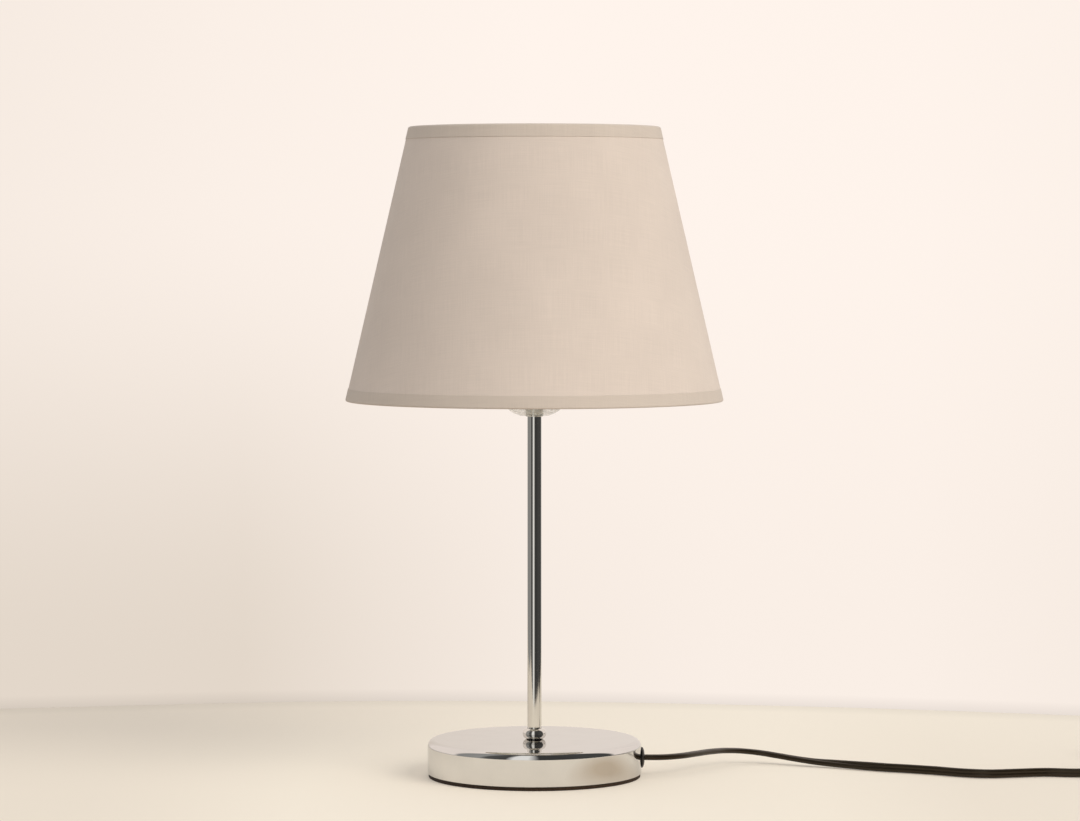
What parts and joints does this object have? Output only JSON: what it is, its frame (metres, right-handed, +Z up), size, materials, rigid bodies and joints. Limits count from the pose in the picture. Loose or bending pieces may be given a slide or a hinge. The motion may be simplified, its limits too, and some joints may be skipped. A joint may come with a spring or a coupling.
{
  "type": "table lamp",
  "caption": "Small table lamp: tapered fabric shade on a thin plated stem and round weighted base, screw lampholder with candle bulb, flat mains cord with rocker switch, coil and plug.",
  "frame": {"origin": "on the table, at the stem's axis, under the middle of the round base", "axes": "+Z up along the stem, +X towards the side where the cord leaves the base, the pictured side faces -Y"},
  "size_m": [0.583, 0.2114, 0.3635],
  "materials": {
    "chrome_plate": "mirror-bright plating on steel",
    "zinc_steel": "zinc-plated steel hardware",
    "cast_weight": "raw casting",
    "fibreboard": "dark pressed fibreboard",
    "black_foam": "soft closed-cell foam pad",
    "black_plastic": "black moulded plastic, fine satin",
    "cord_sheath": "black soft PVC sheath, satin",
    "milky_plastic": "milky white, slightly translucent",
    "white_ceramic": "unglazed steatite",
    "brass_metal": "bare brass",
    "spring_bronze": "bare spring bronze",
    "nickel_plate": "satin nickel plating",
    "live_insulation": "brown PVC insulation",
    "neutral_insulation": "blue PVC insulation",
    "white_plastic": "white satin housing",
    "frosted_glass": "frosted opal glass",
    "black_glass": "black vitrite, glossy",
    "shade_fabric": "pale beige woven fabric on a stiff lining",
    "hem_tape": "the same cloth folded over as a narrow hem",
    "white_wire": "white powder coat"
  },
  "bodies": {
    "root": {"base_cover": "chrome_plate", "base_weight": "cast_weight", "base_plate": "fibreboard", "base_pad": "black_foam", "plate_screw_1": "zinc_steel", "plate_screw_2": "zinc_steel", "stem_tube": "chrome_plate", "stem_collar": "chrome_plate", "stem_lock_washer": "zinc_steel", "stem_nut": "zinc_steel", "cord_bush": "black_plastic", "inner_cord": "cord_sheath", "stem_adapter": "chrome_plate", "holder_cup": "milky_plastic", "holder_grub_screw": "zinc_steel", "holder_core": "white_ceramic", "terminal_live": "brass_metal", "terminal_neutral": "brass_metal", "terminal_screw_live": "zinc_steel", "terminal_screw_neutral": "zinc_steel", "lead_live": "live_insulation", "lead_neutral": "neutral_insulation", "centre_contact": "spring_bronze", "side_contact": "spring_bronze", "screw_shell": "nickel_plate", "holder_skirt": "milky_plastic", "switch_base": "black_plastic", "switch_cover": "black_plastic", "rocker_pin": "zinc_steel", "contact_out": "brass_metal", "contact_in": "brass_metal", "neutral_wire": "neutral_insulation", "switch_screw_1": "zinc_steel", "switch_screw_2": "zinc_steel", "plug_body": "black_plastic", "plug_pin_1": "nickel_plate", "plug_pin_2": "nickel_plate", "cord_lead": "cord_sheath", "cord_link": "cord_sheath", "cord_coil": "cord_sheath", "cord_tail": "cord_sheath", "cord_tie": "black_plastic"},
    "shade": {"shade_panel": "shade_fabric", "bottom_hem": "hem_tape", "bottom_ring": "white_wire", "top_hem": "hem_tape", "top_ring": "white_wire", "shade_arm_1": "white_wire", "shade_arm_2": "white_wire", "shade_arm_3": "white_wire", "fitter_ring": "white_wire"},
    "lock_ring": {"shade_lock_ring": "milky_plastic"},
    "bulb": {"bulb_tip": "nickel_plate", "bulb_insulator": "black_glass", "bulb_cap": "nickel_plate", "bulb_body": "white_plastic", "bulb_globe": "frosted_glass"},
    "rocker": {"switch_rocker": "black_plastic", "contact_arm": "spring_bronze"}
  },
  "joints": [
    {"name": "shade_lift", "type": "slide", "parent": "root", "child": "shade", "axis": [0, 0, 1], "range_m": [0, 0.15]},
    {"name": "lock_ring_off", "type": "slide", "parent": "shade", "child": "lock_ring", "axis": [0, 0, 1], "range_m": [0, 0.105]},
    {"name": "bulb_out", "type": "slide", "parent": "root", "child": "bulb", "axis": [0, 0, 1], "range_m": [0, 0.14]},
    {"name": "rocker_tip", "type": "hinge", "parent": "root", "child": "rocker", "pos_m": [0.366, -0.008, 0.0132], "axis": [0, 1, 0], "range_deg": [0, 16]}
  ]
}
